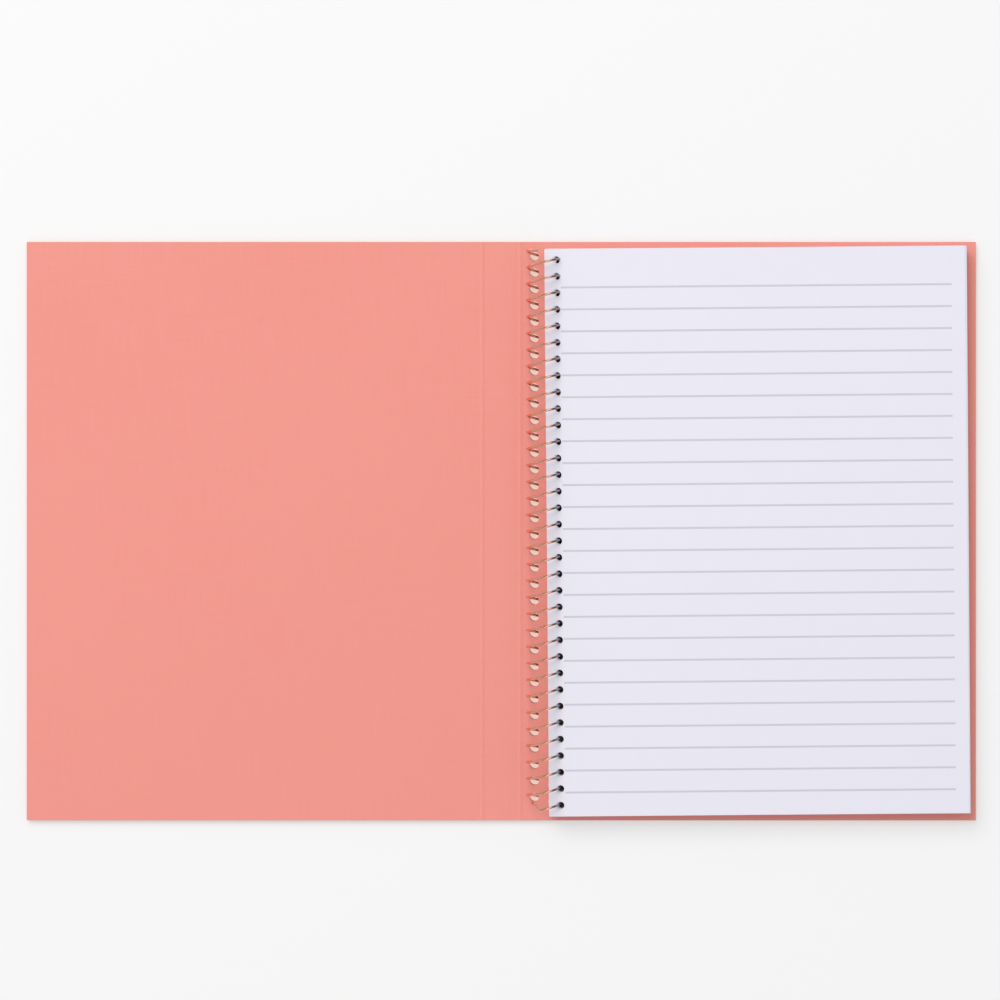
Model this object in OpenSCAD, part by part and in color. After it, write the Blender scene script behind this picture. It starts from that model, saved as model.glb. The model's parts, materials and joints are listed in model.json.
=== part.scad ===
// Open spiral notebook, lying flat with its cover opened to the left.
// One card cover folds round the block of leaves: front panel, spine panel and back panel.
// A wire coil runs up through each hole of the leaves, over to the left, down through a second
// row of holes in the back panel and under it in a short stitch to the next hole.
// X runs from the front cover to the leaves, Y from tail to head, and Z up.
// The origin is under the middle of the open notebook, level with the lowest point of the coil.

/* [Leaves] */
// Width of a leaf, from its binding edge to its fore edge
leaf_w = 161.5; // [120:0.5:210]
// Height of a leaf, from tail to head
leaf_h = 218; // [150:1:297]
// Thickness of the whole block of leaves
block_t = 7.5; // [5:0.5:9]
// Distance from the binding edge of a leaf to the middle of its holes
hole_inset = 4.4; // [3.5:0.1:6]
// Least distance from the end of a leaf to the middle of the nearest hole
hole_end_gap = 4; // [3:0.5:8]
// Turn of the loose leaves on the coil, in degrees
leaf_turn = 0.4; // [0:0.1:0.5]

/* [Coil] */
// Outside diameter of one turn of the coil
coil_d = 14.16; // [13:0.01:17]
// Diameter of the wire
wire_d = 0.9; // [0.7:0.1:1]
// Distance from one turn of the coil to the next
coil_pitch = 6.35; // [5.5:0.05:8]
// Drop of the middle of the wire below the cover, at the lowest point of a stitch
stitch_drop = 0.6; // [0.55:0.05:1.5]
// Clearance between the wire and the side of a hole
wire_room = 0.2; // [0.15:0.05:0.3]
// Stretch of a turn that is left on the coil's first end, in degrees
first_end_sweep = 70; // [30:5:85]
// Turn of the first end away from X, in degrees
first_end_turn = -4; // [-10:1:13]
// Stretch of the last turn before the wire is bent back, in degrees
last_end_sweep = 104; // [90:1:110]
// Distance from the coil's axis to the bent-back tip
tip_out = 4.5; // [4:0.1:5]
// Distance from the last hole to the bent-back tip, towards the head
tip_up = 0.6; // [0:0.1:1.5]

/* [Cover] */
// Thickness of the card
card_t = 1.2; // [0.9:0.1:1.8]
// Width of the cover's margin past the leaves at head and tail
head_margin = 3; // [1:0.5:8]
// Width of the cover's margin past the leaves at the fore edge
fore_margin = 3.9; // [1:0.1:8]
// Room between the coil and the spine panel of the closed notebook
spine_room = 1.5; // [1:0.1:4]
// Room between the coil and the front panel of the closed notebook
lid_room = 1.6; // [1:0.1:5]
// Clearance between two panels at their fold
fold_gap = 0.05; // [0.03:0.01:0.1]

/* [Hidden] */
$fn = 32;
wire_fn = 20;
// Size of a cutting solid past the surface that it cuts
past = 1;
// Steps in which the holes of the leaves follow the wire up through the block
hole_steps = 4;

// Each turn is an upper and a lower half circle in upright planes, turned to either side of X
wire_r = wire_d / 2;
turn_r = (coil_d - wire_d) / 2;
half_step = coil_pitch / 4;
plane_turn = asin(half_step / turn_r);
reach = turn_r * cos(plane_turn);
turns = floor((leaf_h - 2 * hole_end_gap) / coil_pitch) + 1;
hole_ys = [for (i = [0:turns - 1]) ((turns - 1) / 2 - i) * coil_pitch];

// Heights
axis_z = turn_r + wire_r;
card_z = wire_r + stitch_drop;
fold_z = card_z + card_t / 2;
block_z = card_z + card_t;

// The closed cover sets the spine's width and the coil's distance from it
spine_w = card_t + (axis_z - block_z) + turn_r + wire_r + lid_room;
coil_inset = card_t / 2 + spine_room + reach + wire_r;
panel_w = coil_inset + reach - hole_inset + leaf_w + fore_margin;
cover_h = leaf_h + 2 * head_margin;
front_fold_x = -spine_w / 2;
back_fold_x = spine_w / 2;
coil_x = back_fold_x + coil_inset;

// Distances from the coil's axis to the wire's inner and outer side, seen from above, at a height
// above that axis
function wire_inner(h) = cos(plane_turn) * sqrt(pow(turn_r - wire_r, 2) - pow(h, 2));
function wire_outer(h) = cos(plane_turn) * sqrt(pow(turn_r + wire_r, 2) - pow(h, 2));
// Shift of the wire along Y at a distance from the axis, from where it passes the leaves
function lower_shift(x) = half_step * (1 - x / reach);

// Holes in the leaves: each step of the block is punched round the wire's path through it
block_low = block_z - axis_z;
step_t = block_t / hole_steps;
step_lows = [for (i = [0:hole_steps - 1]) block_low + i * step_t];
leaf_hole_ends = [for (h = step_lows) [
    min(wire_inner(h), wire_inner(h + step_t)),
    h * (h + step_t) < 0 ? reach + wire_r : max(wire_outer(h), wire_outer(h + step_t))
]];
leaf_hole_r = max([for (ends = leaf_hole_ends) ends[1] - ends[0]]) / 2 + wire_room;

// Holes in the back panel: two rows, wide enough for the wire on its slope through the card
card_hole_low = wire_inner(card_z - axis_z);
card_hole_high = wire_outer(block_low);
card_hole_x = (card_hole_low + card_hole_high) / 2;
card_hole_r = (card_hole_high - card_hole_low) / 2 + wire_room;

// Last end of the coil: the wire is bent back past the top of its turn
last_y = hole_ys[turns - 1];
bend_run = turn_r * cos(last_end_sweep);
bend = [bend_run * cos(plane_turn), last_y - half_step + bend_run * sin(plane_turn)];
bend_z = axis_z + turn_r * sin(last_end_sweep);
tip = [-tip_out, last_y + tip_up];

module card(from_x, to_x)
    translate([from_x, -cover_h / 2, card_z]) cube([to_x - from_x, cover_h, card_t]);

// Round edge that turns in the fold
module fold_edge(x)
    translate([x, cover_h / 2, fold_z]) rotate([90, 0, 0]) cylinder(d = card_t, h = cover_h);

module front_cover() {
    color([0.93, 0.6, 0.55]) {
        card(front_fold_x - panel_w, front_fold_x);
        fold_edge(front_fold_x);
    }
}

module spine_panel() {
    color([0.91, 0.57, 0.52]) {
        card(front_fold_x + card_t / 2 + fold_gap, back_fold_x);
        fold_edge(back_fold_x);
    }
}

module card_holes(x)
    for (y = hole_ys)
        translate([coil_x + x, y + lower_shift(x), card_z - past])
            cylinder(r = card_hole_r, h = card_t + 2 * past);

module back_cover() {
    color([0.93, 0.6, 0.55]) difference() {
        card(back_fold_x + card_t / 2 + fold_gap, back_fold_x + panel_w);
        card_holes(-card_hole_x);
        card_holes(card_hole_x);
    }
}

// Side view of the block: the leaves hang on the wire, so both long edges follow its curve
module block_profile() {
    edge_x = coil_x - hole_inset;
    intersection() {
        translate([edge_x, block_z]) square([leaf_w + 2 * reach, block_t]);
        difference() {
            union() {
                translate([edge_x, block_z - past]) square([leaf_w, block_t + 2 * past]);
                translate([edge_x + leaf_w, axis_z]) circle(r = reach);
            }
            translate([edge_x, axis_z]) circle(r = reach);
        }
    }
}

// Hole of the leaves at y: a pile of short bores that follow the wire
module leaf_hole(y) {
    for (i = [0:hole_steps - 1]) {
        x = (leaf_hole_ends[i][0] + leaf_hole_ends[i][1]) / 2;
        side = step_lows[i] < 0 ? 1 : -1;
        below = i == 0 ? past : 0;
        above = i == hole_steps - 1 ? past : 0;
        translate([coil_x + x, y + side * lower_shift(x), axis_z + step_lows[i] - below])
            cylinder(r = leaf_hole_r, h = step_t + below + above);
    }
}

module page_block() {
    middle_x = coil_x - hole_inset + (reach + leaf_w) / 2;
    color([0.95, 0.94, 0.98]) difference() {
        translate([middle_x, 0, 0]) rotate([0, 0, leaf_turn]) translate([-middle_x, leaf_h / 2, 0])
            rotate([90, 0, 0]) linear_extrude(leaf_h) block_profile();
        for (y = hole_ys) leaf_hole(y);
    }
}

// Wire bent upwards in an arc, from the +X side of its centre
module wire_arc(radius, sweep)
    rotate([90, 0, 0]) rotate_extrude(angle = sweep) translate([radius, 0]) circle(d = wire_d, $fn = wire_fn);

// Each half turn is placed by its turn of the coil and then by its own half step, so that the round
// ends of two halves meet exactly

// Part of a half turn over the leaves, from a leaf hole towards the coil's left side
module upper_arc(y, sweep)
    translate([coil_x, y, axis_z]) translate([0, -half_step, 0])
        rotate([0, 0, plane_turn]) wire_arc(turn_r, sweep);

// Half turn under the back panel, from the coil's left side to a leaf hole
module lower_half(y)
    translate([coil_x, y, axis_z]) translate([0, half_step, 0])
        rotate([180, 0, -plane_turn]) wire_arc(turn_r, 180);

// Free end that rises from the left side of the first stitch, in a plane of its own
module first_end()
    translate([coil_x, hole_ys[0], axis_z]) translate([0, half_step, 0])
        rotate([0, 0, -plane_turn]) translate([-turn_r, 0, 0])
            rotate([0, 0, plane_turn + first_end_turn]) translate([turn_r, 0, 0])
                mirror([1, 0, 0]) wire_arc(turn_r, first_end_sweep);

// Last end: a turn that stops short and is bent back and down to its tip
module last_end() {
    radius = norm(tip - bend);
    lap = atan(wire_r / turn_r);
    upper_arc(last_y, last_end_sweep + lap);
    translate([coil_x + bend.x, bend.y, bend_z - radius])
        rotate([0, 0, atan2(tip.y - bend.y, tip.x - bend.x)]) wire_arc(radius, 90 + lap);
}

module wire_coil() {
    color([0.83, 0.62, 0.4]) {
        first_end();
        for (y = hole_ys) lower_half(y);
        for (i = [0:turns - 2]) upper_arc(hole_ys[i], 180);
        last_end();
    }
}

front_cover();
spine_panel();
back_cover();
page_block();
wire_coil();
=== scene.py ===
# %% [markdown]
# # An open spiral notebook
# A card cover lies open round a block of ruled leaves, and a gold wire coil holds both. The solids of
# all this were made elsewhere and come in as a fixed frame. This lesson dresses that frame: it builds
# the card with its creased folds, the leaves one by one, the printed ruling and the polished wire,
# and then lights them as a soft studio photograph from straight above.

# %% Load the frame
import json
import math
import random

import bpy
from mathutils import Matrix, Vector


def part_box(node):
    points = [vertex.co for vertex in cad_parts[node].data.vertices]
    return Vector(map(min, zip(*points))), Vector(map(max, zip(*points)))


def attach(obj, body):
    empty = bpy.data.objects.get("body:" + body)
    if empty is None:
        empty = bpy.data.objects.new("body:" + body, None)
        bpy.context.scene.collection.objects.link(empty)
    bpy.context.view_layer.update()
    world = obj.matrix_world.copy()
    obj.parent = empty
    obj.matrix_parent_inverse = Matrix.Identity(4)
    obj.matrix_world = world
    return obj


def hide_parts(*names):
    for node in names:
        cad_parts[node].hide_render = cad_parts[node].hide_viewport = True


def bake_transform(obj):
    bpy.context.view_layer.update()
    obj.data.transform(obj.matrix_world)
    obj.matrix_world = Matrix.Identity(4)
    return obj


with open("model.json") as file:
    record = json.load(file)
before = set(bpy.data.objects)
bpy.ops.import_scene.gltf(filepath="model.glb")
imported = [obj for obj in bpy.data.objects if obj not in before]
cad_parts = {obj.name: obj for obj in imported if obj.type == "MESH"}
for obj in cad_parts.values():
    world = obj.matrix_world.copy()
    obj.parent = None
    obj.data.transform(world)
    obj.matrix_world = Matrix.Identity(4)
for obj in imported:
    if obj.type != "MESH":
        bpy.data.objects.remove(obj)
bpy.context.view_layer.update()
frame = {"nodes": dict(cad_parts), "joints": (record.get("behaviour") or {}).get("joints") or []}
print("nodes:", sorted(frame["nodes"]))

# %% [markdown]
# ## Places and sizes
# Everything is measured from the frame, so that the pieces made here sit exactly on it. The coil's box
# gives the axis of the coil, and the joints give the two folds. Only what the boxes can't tell is
# written as a number, such as the wire's diameter, the coil's pitch and the size of a leaf.

# %% Read the frame's measures
MM = 0.001
WIRE_D = 0.9 * MM
COIL_PITCH = 6.35 * MM
TURNS = 34
FIRST_END_SWEEP = math.radians(70)
FIRST_END_TURN = math.radians(-4)
LAST_END_SWEEP = math.radians(104)
TIP_OUT = 4.5 * MM
TIP_UP = 0.6 * MM
LEAF_W = 161.5 * MM
LEAF_H = 218 * MM
LEAF_TURN = math.radians(0.4)
HOLE_INSET = 4.4 * MM
LEAF_HOLE_R = 1.45 * MM
WIRE_ROOM = 0.2 * MM

coil_low, coil_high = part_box("wire_coil")
back_low, back_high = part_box("back_cover")
front_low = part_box("front_cover")[0]
block_low, block_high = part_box("page_block")
fold_x = {joint["name"]: joint["pos_m"][0] for joint in frame["joints"]}

card_bottom, card_top = back_low.z, back_high.z
head_y, tail_y = back_high.y, back_low.y
coil_x = (coil_low.x + coil_high.x) / 2
axis_z = (coil_low.z + coil_high.z) / 2
wire_r = WIRE_D / 2
half_step = COIL_PITCH / 4
reach = (coil_high.x - coil_low.x) / 2 - wire_r
turn_r = math.hypot(reach, half_step)
plane_turn = math.asin(half_step / turn_r)
hole_ys = [((TURNS - 1) / 2 - i) * COIL_PITCH for i in range(TURNS)]
print(f"coil axis at x {coil_x / MM:.2f}, z {axis_z / MM:.2f} mm; turn radius {turn_r / MM:.2f} mm")


# %% [markdown]
# ## Modelling helpers
# Blender's operators act on whatever is selected, and a freshly loaded frame is selected all over. So
# each step first picks its own piece. In edit mode, vertices, edges and faces are picked by a test on
# their place, which says in code what a hand would click. Two places count as one when they are less
# than a hundredth of a millimetre apart.

# %% Helpers that pick things
NEAR = 0.01 * MM


def pick(piece):
    """Leaves this one piece selected and active."""
    bpy.ops.object.select_all(action="DESELECT")
    piece.select_set(True)
    bpy.context.view_layer.objects.active = piece


def open_for_editing(piece, kind="VERT"):
    pick(piece)
    bpy.ops.object.mode_set(mode="EDIT")
    bpy.ops.mesh.select_mode(type=kind)
    bpy.ops.mesh.select_all(action="SELECT")


def close_editing():
    bpy.ops.object.mode_set(mode="OBJECT")


def pick_vertices(piece, test):
    """Inside edit mode, selects the vertices whose place passes the test."""
    bpy.ops.mesh.select_all(action="DESELECT")
    close_editing()
    for vertex in piece.data.vertices:
        vertex.select = test(vertex.co)
    bpy.ops.object.mode_set(mode="EDIT")


def pick_faces(piece, test):
    """Inside edit mode, selects the faces whose middle and normal pass the test."""
    bpy.ops.mesh.select_mode(type="FACE")
    bpy.ops.mesh.select_all(action="DESELECT")
    close_editing()
    for face in piece.data.polygons:
        face.select = test(face.center, face.normal)
    bpy.ops.object.mode_set(mode="EDIT")


# %% Helpers that start and finish a piece
def start_box(name, low, high):
    """A closed box between two corners, with its place in its mesh."""
    bpy.ops.object.select_all(action="DESELECT")
    low, high = Vector(low), Vector(high)
    bpy.ops.mesh.primitive_cube_add(size=1, location=(low + high) / 2)
    piece = bpy.context.object
    piece.name = name
    piece.scale = high - low
    bpy.ops.object.transform_apply(location=True, rotation=True, scale=True)
    return piece


def start_rods(name, places, low_radius, high_radius, low_z, high_z, sides):
    """Upright rods or pegs at a list of places, joined to one piece for drilling."""
    rods = []
    for x, y in places:
        bpy.ops.object.select_all(action="DESELECT")
        middle = (x, y, (low_z + high_z) / 2)
        shape = {"vertices": sides, "radius1": low_radius, "radius2": high_radius, "depth": high_z - low_z}
        bpy.ops.mesh.primitive_cone_add(location=middle, **shape)
        rods.append(bpy.context.object)
    for rod in rods:
        rod.select_set(True)
    bpy.ops.object.join()
    drill = bpy.context.object
    drill.name = name
    bpy.ops.object.transform_apply(location=True, rotation=True, scale=True)
    return drill


def drill_holes(piece, drill):
    """Cuts the drill out of the piece and puts the drill away."""
    pick(piece)
    cut = piece.modifiers.new("holes", "BOOLEAN")
    cut.operation = "DIFFERENCE"
    cut.solver = "EXACT"
    cut.object = drill
    bpy.ops.object.modifier_apply(modifier=cut.name)
    bpy.data.objects.remove(drill)


def report(piece):
    sides = sum(len(face.vertices) - 2 for face in piece.data.polygons)
    print(f"{piece.name}: {len(piece.data.vertices)} vertices, {sides} triangles")


# %% [markdown]
# ## Material helpers
# A finish is a Principled shader whose colour, gloss and relief come from small calculations on the
# place of each point. Those are easier to read as sums than as boxes and wires. So a `Tone` wraps the
# output of a node, and adding or multiplying tones adds the Math nodes.

# %% Write shader maths as sums
class Tone:
    """A value inside a material. Sums, products and comparisons of tones add Math nodes."""

    def __init__(self, finish, socket):
        self.finish = finish
        self.socket = socket

    def __add__(self, other):
        return self.finish.sum("ADD", self, other)

    def __radd__(self, other):
        return self.finish.sum("ADD", other, self)

    def __sub__(self, other):
        return self.finish.sum("SUBTRACT", self, other)

    def __rsub__(self, other):
        return self.finish.sum("SUBTRACT", other, self)

    def __mul__(self, other):
        return self.finish.sum("MULTIPLY", self, other)

    def __rmul__(self, other):
        return self.finish.sum("MULTIPLY", other, self)


class Finish:
    """A node tree that is written as calls: of a material, or of the world."""

    def __init__(self, tree):
        self.tree = tree

    def node(self, kind, settings=None, out=0, **values):
        """Adds one node, sets its settings first and then its sockets, and gives one output as a tone."""
        made = self.tree.nodes.new("ShaderNode" + kind)
        for key, value in (settings or {}).items():
            setattr(made, key, value)
        for key, value in values.items():
            place = int(key[1:]) if key[1:].isdigit() else key.replace("_", " ")
            self.feed(made.inputs[place], value)
        return Tone(self, made.outputs[out])

    def feed(self, socket, value):
        if isinstance(value, Tone):
            self.tree.links.new(value.socket, socket)
        else:
            socket.default_value = value

    def sum(self, operation, left, right=0.0):
        return self.node("Math", {"operation": operation}, i0=left, i1=right)

    def place(self, scale=(1, 1, 1)):
        """The point's place in metres, stretched for a pattern that is longer one way."""
        here = self.node("TexCoord", out="Object")
        return self.node("Mapping", {"vector_type": "POINT"}, Vector=here, Scale=scale)

    def axes(self):
        """The point's X and Y in metres, as two tones."""
        x_axis = self.node("SeparateXYZ", Vector=self.place())
        return x_axis, Tone(self, x_axis.socket.node.outputs["Y"])

    def speckle(self, scale, detail=2.0):
        """Soft noise from 0 to 1, with so many blots to the metre in each direction."""
        return self.node("TexNoise", Vector=self.place(scale), Scale=1.0, Detail=detail, Roughness=0.5)

    def blend(self, share, colour_a, colour_b):
        settings = {"data_type": "RGBA", "clamp_factor": True}
        return self.node("Mix", settings, out=2, i0=share, i6=colour_a, i7=colour_b)

    def relief(self, height, depth):
        return self.node("Bump", Height=height, Distance=depth, Strength=1.0)


# %% Start a material
def start_material(name, roughness, metallic=0.0):
    """A new material, its finish to write in, and its shader's sockets."""
    material = bpy.data.materials.new(name)
    material.use_nodes = True
    shader = material.node_tree.nodes["Principled BSDF"]
    shader.inputs["Roughness"].default_value = roughness
    shader.inputs["Metallic"].default_value = metallic
    return material, Finish(material.node_tree), shader.inputs


def wear(piece, *materials):
    """Gives a piece its materials, in the order of its faces' material numbers."""
    piece.data.materials.clear()
    for material in materials:
        piece.data.materials.append(material)


# %% [markdown]
# ## The cover's cloth
# The cover is card wrapped in a fine coral book cloth. A woven cloth needs two sets of threads: ridges
# that run along X and ridges that run along Y, each a sine of the place. Real thread is uneven, so
# long thin blots of noise lighten and darken single threads by a few parts in a hundred.

# %% Coral book cloth
THREAD_PITCH = 0.5 * MM
CORAL_PALE = (0.865, 0.33, 0.28, 1)
CORAL_DEEP = (0.84, 0.283, 0.235, 1)


def make_cloth():
    material, finish, shader = start_material("coral_cloth", roughness=0.85)
    x_axis, y_axis = finish.axes()
    turns = 2 * math.pi / THREAD_PITCH
    uneven = finish.speckle((500, 500, 500), detail=3.0) * 2.0
    across = finish.sum("SINE", x_axis * turns + uneven)
    along = finish.sum("SINE", y_axis * turns + uneven)
    weave = (across * across + along * along) * 0.5
    slubs = finish.speckle((60, 1500, 60)) + finish.speckle((1500, 60, 60))
    dye = finish.speckle((14, 14, 14), detail=3.0)
    mottle = slubs * 0.5 + dye * 0.5 - 0.25
    finish.feed(shader["Base Color"], finish.blend(mottle, CORAL_DEEP, CORAL_PALE))
    finish.feed(shader["Normal"], finish.relief(weave + slubs * 0.6, 0.02 * MM))
    finish.feed(shader["Roughness"], slubs * 0.08 + 0.78)
    return material


coral_cloth = make_cloth()
print("material:", coral_cloth.name)

# %% [markdown]
# ## The card cover
# One piece of card, scored at two folds, wraps the leaves. It could be one mesh, but each fold turns on
# its own hinge, and a mesh can bend across one hinge only. So the card is made as two halves that meet
# flush in the middle of the flat spine. Each half starts as a box. Bisecting it near the fold gives
# columns of vertices that can bend, and lifting them in a soft curve makes the creased bead.

# %% Cut columns across a fold and raise the bead
BEND_HALF = 1.6 * MM
BEAD_HALF = 1.1 * MM
BEAD_HEIGHT = 0.16 * MM
COLUMNS = 16
EDGE_ROUND = 0.16 * MM
EDGE_STEPS = 3
CARD_CORNER = math.radians(40)
CARD_SMOOTH = math.radians(10)


def column_places(middle):
    return [middle + BEND_HALF * (2 * i / COLUMNS - 1) for i in range(COLUMNS + 1)]


def crease(piece, middle):
    """Scores the card at a fold: a low bead on the inside, with a groove behind it."""
    open_for_editing(piece)
    for x in column_places(middle):
        bpy.ops.mesh.select_all(action="SELECT")
        bpy.ops.mesh.bisect(plane_co=(x, 0, 0), plane_no=(1, 0, 0))
    for x in column_places(middle):
        if abs(x - middle) < BEAD_HALF:
            rise = BEAD_HEIGHT * math.cos((x - middle) / BEAD_HALF * math.pi / 2) ** 2
            pick_vertices(piece, lambda place, x=x: abs(place.x - x) < NEAR)
            bpy.ops.transform.translate(value=(0, 0, rise))
    close_editing()


def round_edges(piece, seam_x):
    """Rounds the card's edges, apart from the seam in the middle of the spine."""
    open_for_editing(piece, "EDGE")
    bpy.ops.mesh.select_all(action="DESELECT")
    bpy.ops.mesh.edges_select_sharp(sharpness=CARD_CORNER)
    close_editing()
    for edge in piece.data.edges:
        ends = [piece.data.vertices[i].co.x for i in edge.vertices]
        if all(abs(x - seam_x) < NEAR for x in ends):
            edge.select = False
    for face in piece.data.polygons:
        face.select = False
    bpy.ops.object.mode_set(mode="EDIT")
    bpy.ops.mesh.bevel(offset=EDGE_ROUND, segments=EDGE_STEPS, affect="EDGES")
    close_editing()


def finish_card(piece):
    pick(piece)
    bpy.ops.object.shade_smooth_by_angle(angle=CARD_SMOOTH)
    wear(piece, coral_cloth)
    report(piece)


# %% Front half of the card
spine_middle = (fold_x["front_fold"] + fold_x["back_fold"]) / 2
front_card = start_box("front_card", (front_low.x, tail_y, card_bottom), (spine_middle, head_y, card_top))
crease(front_card, fold_x["front_fold"])
round_edges(front_card, spine_middle)
finish_card(front_card)

# %% [markdown]
# ## The punched half
# The back half carries two rows of round holes, through which the coil stitches the card. The wire
# crosses the card on a slope, so at the bottom of the card a hole reaches from the wire's outer side
# above it to its inner side below it. At the top a narrower mouth is enough, further from the coil's
# axis and a little towards the tail, where the wire has pulled it. So each hole is cut by a leaning peg.

# %% Back half of the card
def wire_x(z):
    """Distance from the coil's axis to the middle of the wire, seen from above, at a height."""
    return reach * math.sqrt(1 - ((z - axis_z) / turn_r) ** 2)


def wire_side(z, side):
    """The same distance for the wire's outer side, where side is 1, or its inner side, where it is -1."""
    return reach / turn_r * math.sqrt((turn_r + side * wire_r) ** 2 - (z - axis_z) ** 2)


def stitch_shift(x):
    """Shift along Y of the wire under the card, at a distance from the coil's axis."""
    return half_step * (1 - x / reach)


inner_side, outer_side = wire_side(card_bottom, -1), wire_side(card_top, 1)
cross_x = (inner_side + outer_side) / 2
card_hole_r = (outer_side - inner_side) / 2 + WIRE_ROOM
MOUTH_R = 1.6 * MM
MOUTH_OUT = 0.4 * MM
MOUTH_DOWN = 0.8 * MM
PAST = 0.05 * MM
PEG_SIDES = 32


def start_pegs(side):
    """Pegs for one row of holes: side is -1 for the row left of the coil's axis and 1 for the other."""
    places = [(coil_x + side * cross_x, y + stitch_shift(side * cross_x)) for y in hole_ys]
    pegs = start_rods("punch", places, card_hole_r, MOUTH_R, card_bottom - PAST, card_top + PAST, PEG_SIDES)
    open_for_editing(pegs)
    pick_vertices(pegs, lambda place: place.z > card_top)
    bpy.ops.transform.translate(value=(side * MOUTH_OUT, -MOUTH_DOWN, 0))
    close_editing()
    return pegs


print(f"card holes: radius {card_hole_r / MM:.2f} mm, {cross_x / MM:.2f} mm from the coil's axis")
back_card = start_box("back_card", (spine_middle, tail_y, card_bottom), (back_high.x, head_y, card_top))
crease(back_card, fold_x["back_fold"])
for side in (-1, 1):
    drill_holes(back_card, start_pegs(side))
round_edges(back_card, spine_middle)
finish_card(back_card)

# %% [markdown]
# ## Paper
# The leaves are a smooth, slightly cool white. Paper is never quite even: a faint cloudiness from the
# fibres shows in its colour, and a much finer one in its surface. The ruling is the same paper with
# a thin grey ink, and the stack of edges is a touch darker, with a fine stripe for each sheet.

# %% Paper, ink and leaf edges
PAPER = (0.81, 0.795, 0.883, 1)
PAPER_CLOUD = (0.79, 0.775, 0.866, 1)
INK = (0.57, 0.56, 0.64, 1)
INK_WORN = (0.63, 0.62, 0.7, 1)
EDGE_LIGHT = (0.8, 0.785, 0.85, 1)
EDGE_DARK = (0.74, 0.72, 0.78, 1)


def make_paper(name, light, dark):
    material, finish, shader = start_material(name, roughness=0.8)
    cloud = finish.speckle((120, 120, 120), detail=4.0)
    fibre = finish.speckle((5000, 2500, 3000), detail=2.0)
    finish.feed(shader["Base Color"], finish.blend(cloud, dark, light))
    finish.feed(shader["Normal"], finish.relief(fibre, 0.006 * MM))
    finish.feed(shader["Roughness"], fibre * 0.1 + 0.72)
    return material


def make_leaf_edges():
    material, finish, shader = start_material("leaf_edges", roughness=0.9)
    sheets = finish.speckle((60, 60, 9000), detail=1.0)
    finish.feed(shader["Base Color"], finish.blend(sheets, EDGE_DARK, EDGE_LIGHT))
    finish.feed(shader["Normal"], finish.relief(sheets, 0.03 * MM))
    return material


paper = make_paper("paper", PAPER, PAPER_CLOUD)
ruling_ink = make_paper("ruling_ink", INK, INK_WORN)
leaf_edges = make_leaf_edges()
print("materials:", paper.name, ruling_ink.name, leaf_edges.name)

# %% [markdown]
# ## The leaves
# Eighty leaves hang on the wire, so each one sits a little further left or right than the next and the
# stack's long edges follow the curve of the coil. The lowest leaves keep back a little, so that none
# peeps out past the top one. Only the outline shows, so forty sheets are enough: one is cut and
# drilled, and the others are copies of it, nudged by up to a tenth of a millimetre or so.

# %% One sheet, drilled
SHEETS = 40
SHEET_SHARE = 0.85
SHEET_SIDES = 16
TOP_SIDES = 32
sheet_pitch = (block_high.z - block_low.z) / SHEETS
sheet_t = sheet_pitch * SHEET_SHARE
binding_x = coil_x - HOLE_INSET
leaf_middle = Vector((binding_x + (reach + LEAF_W) / 2, 0, 0))
LEAST_HANG = 5.8 * MM
LEAF_UP = 0.15 * MM


def start_sheet(name):
    """A leaf at the coil's axis, with its binding edge at binding_x and its underside at 0."""
    return start_box(name, (binding_x, -LEAF_H / 2, 0), (binding_x + LEAF_W, LEAF_H / 2, sheet_t))


def drill_sheet(sheet, sides):
    places = [(coil_x, y) for y in hole_ys]
    drill_holes(sheet, start_rods("leaf_punch", places, LEAF_HOLE_R, LEAF_HOLE_R, -MM, MM, sides))


def hang(sheet, low_z, nudge_x=0.0, nudge_y=0.0, nudge_turn=0.0):
    """Moves a sheet from the axis of the coil to its height on the wire, and turns it with the block."""
    away = max(wire_x(low_z + sheet_t / 2), LEAST_HANG)
    pick(sheet)
    bpy.ops.transform.translate(value=(away + nudge_x, LEAF_UP + nudge_y, low_z))
    turn_leaves(sheet, LEAF_TURN + nudge_turn)


def turn_leaves(sheet, angle):
    """Turns a sheet about the middle of the block, anticlockwise seen from above."""
    sheet.rotation_euler.z = angle
    turned = sheet.rotation_euler.to_matrix() @ leaf_middle
    sheet.location += leaf_middle - turned
    bpy.ops.object.transform_apply(location=True, rotation=True, scale=True)


first_sheet = start_sheet("leaves")
drill_sheet(first_sheet, SHEET_SIDES)
report(first_sheet)

# %% Stack the sheets
random.seed(34)
NUDGE_X = 0.10 * MM
NUDGE_Y = 0.12 * MM
NUDGE_TURN = math.radians(0.02)
stack = []
for i in range(SHEETS - 1):
    sheet = first_sheet.copy()
    sheet.data = first_sheet.data.copy()
    bpy.context.collection.objects.link(sheet)
    nudges = [random.uniform(-size, size) for size in (NUDGE_X, NUDGE_Y, NUDGE_TURN)]
    hang(sheet, block_low.z + sheet_pitch * i + sheet_pitch - sheet_t, *nudges)
    stack.append(sheet)
bpy.data.objects.remove(first_sheet)
pick(stack[0])
for sheet in stack:
    sheet.select_set(True)
bpy.ops.object.join()
leaves = bpy.context.object
leaves.name = "leaves"
wear(leaves, leaf_edges)
report(leaves)

# %% [markdown]
# ## The ruled top leaf
# The top leaf is what the eye reads, so it gets rounder holes and its printed ruling. A printed line is
# a field of colour, not a groove: the leaf's face is bisected along both sides of each line, and the
# narrow faces between the cuts get the ink. The cuts come before the holes, while the face is simple.
# The leaf has been turned over last, so it lies a little to the left and a little more askew.

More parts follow.
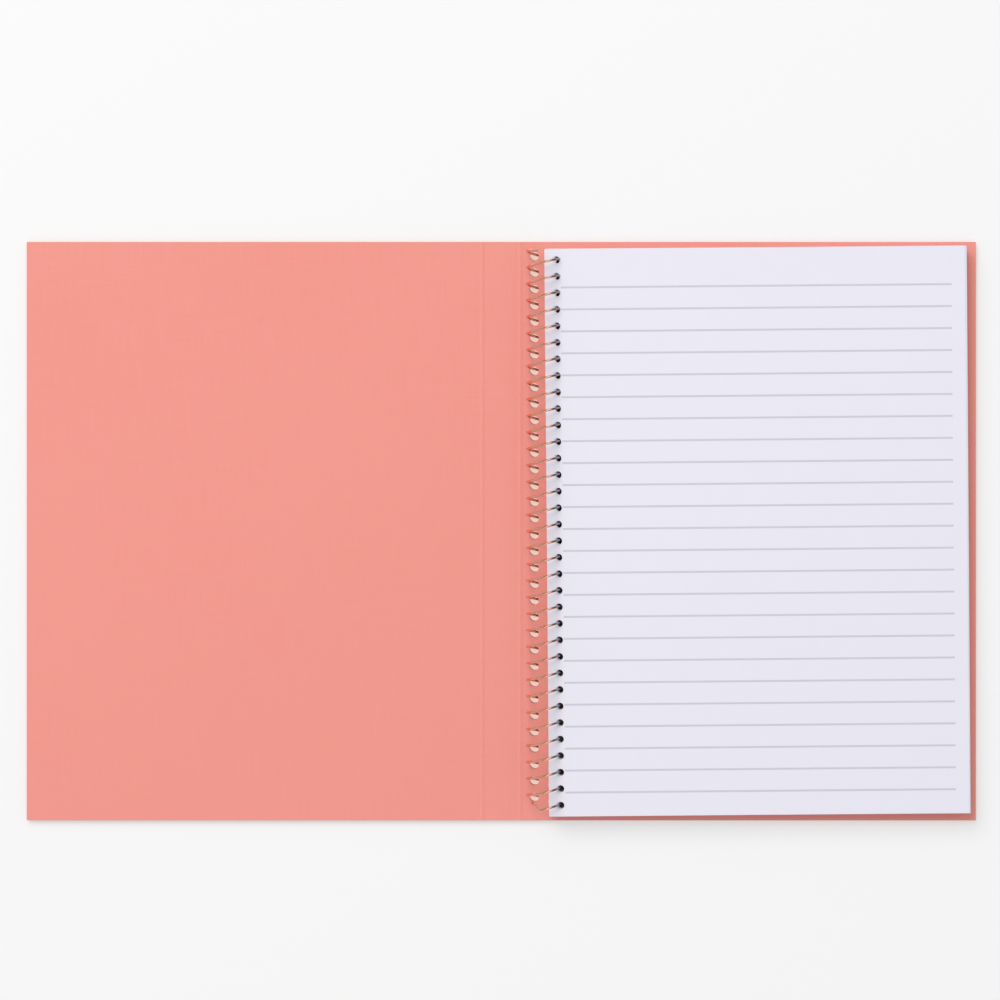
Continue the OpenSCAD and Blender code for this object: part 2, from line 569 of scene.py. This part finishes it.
# %% The top leaf and its ruling
RULES = 24
RULE_PITCH = 8.435 * MM
RULE_T = 0.75 * MM
FIRST_RULE_Y = 94.2 * MM
RULE_START = 6.2 * MM
RULE_END = 5.2 * MM
TOP_LEFT = -0.4 * MM
TOP_TURN = math.radians(0.1)
rule_ys = [FIRST_RULE_Y - i * RULE_PITCH for i in range(RULES)]
rule_low_x = binding_x + RULE_START
rule_high_x = binding_x + LEAF_W - RULE_END


def cut_rules(leaf):
    open_for_editing(leaf)
    cuts = [((x, 0, 0), (1, 0, 0)) for x in (rule_low_x, rule_high_x)]
    cuts += [((0, y + side * RULE_T / 2, 0), (0, 1, 0)) for y in rule_ys for side in (-1, 1)]
    for place, normal in cuts:
        bpy.ops.mesh.select_all(action="SELECT")
        bpy.ops.mesh.bisect(plane_co=place, plane_no=normal)
    close_editing()


def on_a_rule(middle, normal):
    across = any(abs(middle.y - y) < RULE_T / 2 for y in rule_ys)
    return normal.z > 0.5 and across and rule_low_x < middle.x < rule_high_x


top_leaf = start_sheet("top_leaf")
cut_rules(top_leaf)
wear(top_leaf, paper, ruling_ink)
open_for_editing(top_leaf, "FACE")
pick_faces(top_leaf, on_a_rule)
top_leaf.active_material_index = 1
bpy.ops.object.material_slot_assign()
close_editing()
drill_sheet(top_leaf, TOP_SIDES)
hang(top_leaf, block_high.z - sheet_t, nudge_x=TOP_LEFT, nudge_turn=TOP_TURN)
report(top_leaf)

# %% [markdown]
# ## The wire
# A coil that binds a book isn't a plain helix. Each turn rises through a leaf hole and slants over to
# the left, then dives through the card and runs back under it as a short stitch. That is two half
# circles in upright planes, turned to either side of X. The path is a list of such halves, and a curve
# with a round bevel sweeps the wire along it. The first end stands up free, and the last is bent back.
# Just above the leaf holes the wire is painted dark grey: painted shade and a painted dark reflection.

# %% Gold wire
GOLD = (0.92, 0.53, 0.37, 1)
GOLD_WORN = (0.82, 0.45, 0.32, 1)
# Painted shade: dark grey painted on the wire right of the coil's axis, for its shadow and dark reflection
# near the leaf holes.
WIRE_PAINTED_SHADE = (0.32, 0.28, 0.3, 1)
PAINTED_SHADE_FROM = 2.6 * MM
PAINTED_SHADE_TO = 4.2 * MM


def make_gold():
    material, finish, shader = start_material("gold_wire", roughness=0.14, metallic=1.0)
    tarnish = finish.speckle((350, 350, 350), detail=3.0)
    draw_marks = finish.speckle((4000, 900, 4000), detail=2.0)
    gold = finish.blend(tarnish, GOLD_WORN, GOLD)
    x_axis, _ = finish.axes()
    # Painted shade: the wire turns dark grey from 2.6 mm right of the axis, and is fully dark from 4.2 mm
    # on.
    painted_shade = finish.node("MapRange", Value=x_axis - coil_x, From_Min=PAINTED_SHADE_FROM, From_Max=PAINTED_SHADE_TO)
    finish.feed(shader["Base Color"], finish.blend(painted_shade, gold, WIRE_PAINTED_SHADE))
    finish.feed(shader["Roughness"], tarnish * 0.08 + 0.1)
    finish.feed(shader["Normal"], finish.relief(draw_marks, 0.004 * MM))
    return material


gold_wire = make_gold()
print("material:", gold_wire.name)

# %% The path of the wire
ARC_STEPS = 18
last_y = hole_ys[-1]
bend_run = turn_r * math.cos(LAST_END_SWEEP)
bend = Vector((bend_run * math.cos(plane_turn), last_y - half_step + bend_run * math.sin(plane_turn), 0))
bend_z = axis_z + turn_r * math.sin(LAST_END_SWEEP)
tip = Vector((-TIP_OUT, last_y + TIP_UP, 0))


def steps(start, end):
    return [start + (end - start) * i / ARC_STEPS for i in range(ARC_STEPS)]


def over(y, angle):
    """A point of the half turn over the leaves that rises from the leaf hole at y."""
    run = turn_r * math.cos(angle)
    side = y - half_step + run * math.sin(plane_turn)
    return (coil_x + run * math.cos(plane_turn), side, axis_z + turn_r * math.sin(angle))


def under(y, angle):
    """A point of the half turn under the card that ends at the leaf hole at y."""
    run = turn_r * math.cos(angle)
    side = y + half_step - run * math.sin(plane_turn)
    return (coil_x + run * math.cos(plane_turn), side, axis_z - turn_r * math.sin(angle))


def first_end(angle):
    """A point of the free end, from its join with the first stitch at 0 up to its tip."""
    run = turn_r * (1 - math.cos(angle))
    side = hole_ys[0] + 2 * half_step + run * math.sin(FIRST_END_TURN)
    return (coil_x - reach + run * math.cos(FIRST_END_TURN), side, axis_z + turn_r * math.sin(angle))


def bent_back(angle):
    """A point of the bent end, from its top at a right angle to its tip at 0."""
    radius = (tip - bend).length
    out = (tip - bend).normalized() * radius * math.cos(angle)
    return (coil_x + bend.x + out.x, bend.y + out.y, bend_z - radius + radius * math.sin(angle))


def wire_path():
    path = [first_end(angle) for angle in steps(FIRST_END_SWEEP, 0)]
    for y in hole_ys:
        path += [under(y, angle) for angle in steps(math.pi, 0)]
        end = LAST_END_SWEEP if y == last_y else math.pi
        path += [over(y, angle) for angle in steps(0, end)]
    return path + [bent_back(angle) for angle in steps(math.pi / 2, 0)] + [bent_back(0)]


coil_path = wire_path()
print("points along the wire:", len(coil_path))

# %% Sweep the wire
CUT_END = 0.8
BEVEL_STEPS = 4
MERGE = 0.001 * MM
WIRE_SMOOTH = math.radians(50)


def sweep_wire(name, path):
    bpy.ops.object.select_all(action="DESELECT")
    bpy.ops.curve.primitive_nurbs_path_add(location=(0, 0, 0))
    coil = bpy.context.object
    coil.name = name
    curve = coil.data
    curve.splines.clear()
    line = curve.splines.new("POLY")
    line.points.add(len(path) - 1)
    for point, place in zip(line.points, path):
        point.co = (*place, 1)
    for end in (line.points[0], line.points[-1]):
        end.radius = CUT_END
    curve.dimensions = "3D"
    curve.twist_mode = "MINIMUM"
    curve.bevel_depth = wire_r
    curve.bevel_resolution = BEVEL_STEPS
    curve.use_fill_caps = True
    bpy.ops.object.convert(target="MESH")
    open_for_editing(coil)
    bpy.ops.mesh.remove_doubles(threshold=MERGE)
    bpy.ops.mesh.normals_make_consistent(inside=False)
    close_editing()
    bpy.ops.object.shade_smooth_by_angle(angle=WIRE_SMOOTH)
    return coil


gold_coil = sweep_wire("gold_coil", coil_path)
wear(gold_coil, gold_wire)
report(gold_coil)

# %% [markdown]
# ## What moves with what
# The frame turns on two hinges, one at each fold. The leaves and the coil ride with the back of the
# cover. The two halves of the card stay where they were made, and the solids they stand for are hidden.


def bend_card(piece, body_a, body_b, fold, *nodes):
    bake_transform(piece)
    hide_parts(*nodes)


bend_card(front_card, "front", "spine", "front_fold", "front_cover", "spine_panel")
bend_card(back_card, "spine", "back", "back_fold", "back_cover", "spine_panel")
for piece in (leaves, top_leaf, gold_coil):
    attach(piece, "back")
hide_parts("page_block")
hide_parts("page_block")
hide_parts("wire_coil")
print("fastened:", [piece.name for piece in (front_card, back_card, leaves, top_leaf, gold_coil)])

# %% [markdown]
# ## Studio
# The notebook lies on a plain near-white floor. A bright even surround and a wide soft lamp at the
# upper left together light a level face at a little over strength 1. The floor could be pure light,
# but then nothing would stand on it. So the camera sees one part of the floor's own light and one part
# of the light that falls on it. Light that passes the card's holes gets warm from the coral cloth. So
# under the coil the camera also sees a share of pale peach, which shows through the holes alone.

# %% Floor
FLOOR_WHITE = 0.93
FLOOR_PAINT = 0.9
FLOOR_GLOW = 0.45
FLOOR_SIZE = 6.0
HOLE_LIGHT = (1.0, 0.66, 0.51, 1)
HOLE_GLOW = 0.62
HOLE_STRIP = 16 * MM


def grey(value):
    return (value, value, value, 1)


def make_floor():
    material, finish, shader = start_material("floor_white", roughness=1.0)
    shader["Base Color"].default_value = grey(FLOOR_PAINT)
    nodes = material.node_tree.nodes
    painted = Tone(finish, nodes["Principled BSDF"].outputs[0])
    glowing = finish.node("Emission", Color=grey(1), Strength=FLOOR_WHITE)
    seen = finish.node("LightPath", out="Is Camera Ray")
    x_axis, y_axis = finish.axes()
    near_coil = finish.sum("LESS_THAN", finish.sum("ABSOLUTE", x_axis - coil_x), HOLE_STRIP / 2)
    under_card = finish.sum("LESS_THAN", finish.sum("ABSOLUTE", y_axis), head_y - MM)
    plain = finish.node("MixShader", i0=seen * FLOOR_GLOW, i1=painted, i2=glowing)
    peach = finish.node("Emission", Color=HOLE_LIGHT, Strength=1.0)
    through_holes = seen * near_coil * under_card * HOLE_GLOW
    mixed = finish.node("MixShader", i0=through_holes, i1=plain, i2=peach)
    finish.feed(nodes["Material Output"].inputs["Surface"], mixed)
    return material


bpy.ops.object.select_all(action="DESELECT")
bpy.ops.mesh.primitive_plane_add(size=FLOOR_SIZE, location=(0, 0, 0))
floor = bpy.context.object
floor.name = "floor"
wear(floor, make_floor())
print("floor:", FLOOR_SIZE, "m")

# %% [markdown]
# ## What the wire mirrors
# A polished wire has no look of its own: it shows the room. In an even white room it would be a flat
# gold line. A real studio is a white ceiling with a dark camera in it, and a grey wall on the left,
# with a dim room below. So bright and dark stretches follow each other round a turn. Each is a band
# that runs on from head to tail, so that it fills the wire's width. Only mirror-like rays see that
# room, and they don't see the lamp. The camera sees plain white.

# %% Surround
SURROUND = 0.63
CEILING = 1.1
CEILING_FROM = Vector((0.36, 0.0, 1.0)).normalized()
CEILING_EDGES = (math.cos(math.radians(40)), math.cos(math.radians(20)))
WALL = 0.6
WALL_FROM = Vector((-1.0, 0.0, 0.7)).normalized()
WALL_EDGES = (math.cos(math.radians(48)), math.cos(math.radians(28)))
CAMERA_EDGES = (math.cos(math.radians(11)), math.cos(math.radians(6)))
ROOM = 0.16


def make_surround():
    world = bpy.data.worlds.new("studio")
    bpy.context.scene.world = world
    world.use_nodes = True
    world.node_tree.nodes.clear()
    finish = Finish(world.node_tree)
    direction = finish.node("TexCoord", out="Generated")
    level = finish.node("VectorMath", {"operation": "MULTIPLY"}, i0=direction, i1=(1, 0, 1))
    across = finish.node("VectorMath", {"operation": "NORMALIZE"}, i0=level)

    def within(middle, edges):
        dot = finish.node("VectorMath", {"operation": "DOT_PRODUCT"}, out="Value", i0=across, i1=middle)
        smooth = {"interpolation_type": "SMOOTHSTEP", "clamp": True}
        return finish.node("MapRange", smooth, Value=dot, From_Min=edges[0], From_Max=edges[1])

    ceiling = within(CEILING_FROM, CEILING_EDGES) * (1 - within(Vector((0, 0, 1)), CAMERA_EDGES))
    wall = within(WALL_FROM, WALL_EDGES)
    mirrored = ceiling * (CEILING - ROOM) + wall * (WALL - ROOM) + ROOM
    rays = finish.node("LightPath", out="Is Camera Ray")
    clear = rays + Tone(finish, rays.socket.node.outputs["Is Transmission Ray"])
    glossy = Tone(finish, rays.socket.node.outputs["Is Glossy Ray"])
    strength = clear * (FLOOR_WHITE - SURROUND) + glossy * (mirrored - SURROUND) + SURROUND
    light = finish.node("Background", Color=grey(1), Strength=strength)
    out = world.node_tree.nodes.new("ShaderNodeOutputWorld")
    finish.feed(out.inputs["Surface"], light)


# %% Lamp
LAMP = 0.47
LAMP_FROM = Vector((-0.5, 0.72, 1.0)).normalized()
LAMP_AWAY = 3.0
LAMP_SIZE = 1.9


def add_lamp():
    """A soft square lamp that lights a level face below it at strength LAMP."""
    bpy.ops.object.light_add(type="AREA", location=LAMP_FROM * LAMP_AWAY)
    lamp = bpy.context.object
    lamp.name = "soft_lamp"
    lamp.data.size = LAMP_SIZE
    lamp.data.energy = LAMP * (math.pi * LAMP_AWAY) ** 2 / LAMP_FROM.z
    lamp.rotation_mode = "QUATERNION"
    lamp.rotation_quaternion = LAMP_FROM.to_track_quat("Z", "Y")
    lamp.visible_camera = False
    lamp.visible_glossy = False


make_surround()
add_lamp()
print("lamp at", tuple(round(part * LAMP_AWAY, 2) for part in LAMP_FROM), "m")

# %% [markdown]
# ## Camera
# The photograph looks straight down from about a metre. The field at the cover is the picture's width
# divided by its scale, and the lens follows from that and the height.

# %% Camera
PICTURE = 1000
PIXELS_PER_MM = 2.583
CAMERA_HEIGHT = 0.95
SENSOR = 36.0
MIDDLE_X = -0.5 * MM
MIDDLE_Y = 12.05 * MM
field = PICTURE / PIXELS_PER_MM * MM
bpy.ops.object.camera_add(location=(MIDDLE_X, MIDDLE_Y, card_top + CAMERA_HEIGHT), rotation=(0, 0, 0))
camera = bpy.context.object
camera.data.sensor_width = SENSOR
camera.data.lens = SENSOR * CAMERA_HEIGHT / field
bpy.context.scene.camera = camera
bpy.context.scene.view_settings.view_transform = "Standard"
print(f"lens {camera.data.lens:.1f} mm")
